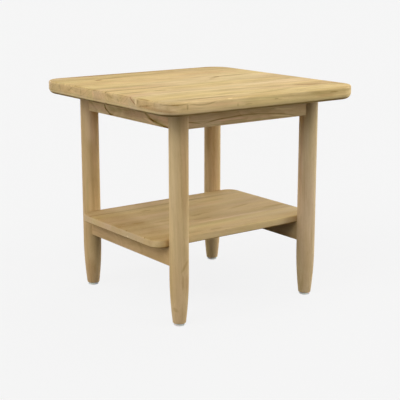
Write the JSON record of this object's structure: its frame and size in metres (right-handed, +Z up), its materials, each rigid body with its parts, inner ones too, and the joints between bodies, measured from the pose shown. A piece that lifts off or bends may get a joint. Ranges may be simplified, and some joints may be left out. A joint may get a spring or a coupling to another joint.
{
  "type": "end table with shelf",
  "caption": "Square solid wood end table: thick top with rounded corners on turned tapered legs, aprons under the top and a shelf resting on low side rails between the legs.",
  "frame": {"origin": "on the floor below the centre of the table, the underside of the glides at z = 0", "axes": "+Z up; +X along the grain of the top and of the shelf, towards the right; -Y is the front; the shelf stands out past the legs along X"},
  "size_m": [0.55, 0.55, 0.52],
  "materials": {
    "top_wood": "clear satin lacquer",
    "shelf_wood": "clear satin lacquer",
    "leg_wood": "clear satin lacquer",
    "apron_wood": "clear satin lacquer",
    "rail_wood": "clear satin lacquer",
    "block_wood": "bare planed",
    "dowel_wood": "bare",
    "zinc_steel": "bright zinc plate",
    "glide_plastic": "pale translucent plastic"
  },
  "bodies": {
    "root": {"apron_back": "apron_wood", "apron_dowels": "dowel_wood", "apron_front": "apron_wood", "apron_left": "apron_wood", "apron_right": "apron_wood", "block_screws": "zinc_steel", "corner_block_back_left": "block_wood", "corner_block_back_right": "block_wood", "corner_block_front_left": "block_wood", "corner_block_front_right": "block_wood", "glide_back_left": "glide_plastic", "glide_back_right": "glide_plastic", "glide_front_left": "glide_plastic", "glide_front_right": "glide_plastic", "glide_nails": "zinc_steel", "leg_back_left": "leg_wood", "leg_back_right": "leg_wood", "leg_bolt_nuts": "zinc_steel", "leg_bolt_washers": "zinc_steel", "leg_bolts": "zinc_steel", "leg_front_left": "leg_wood", "leg_front_right": "leg_wood", "rail_dowels": "dowel_wood", "shelf": "shelf_wood", "shelf_rail_left": "rail_wood", "shelf_rail_right": "rail_wood", "shelf_screws": "zinc_steel", "tabletop": "top_wood", "top_screws": "zinc_steel"}
  },
  "joints": []
}
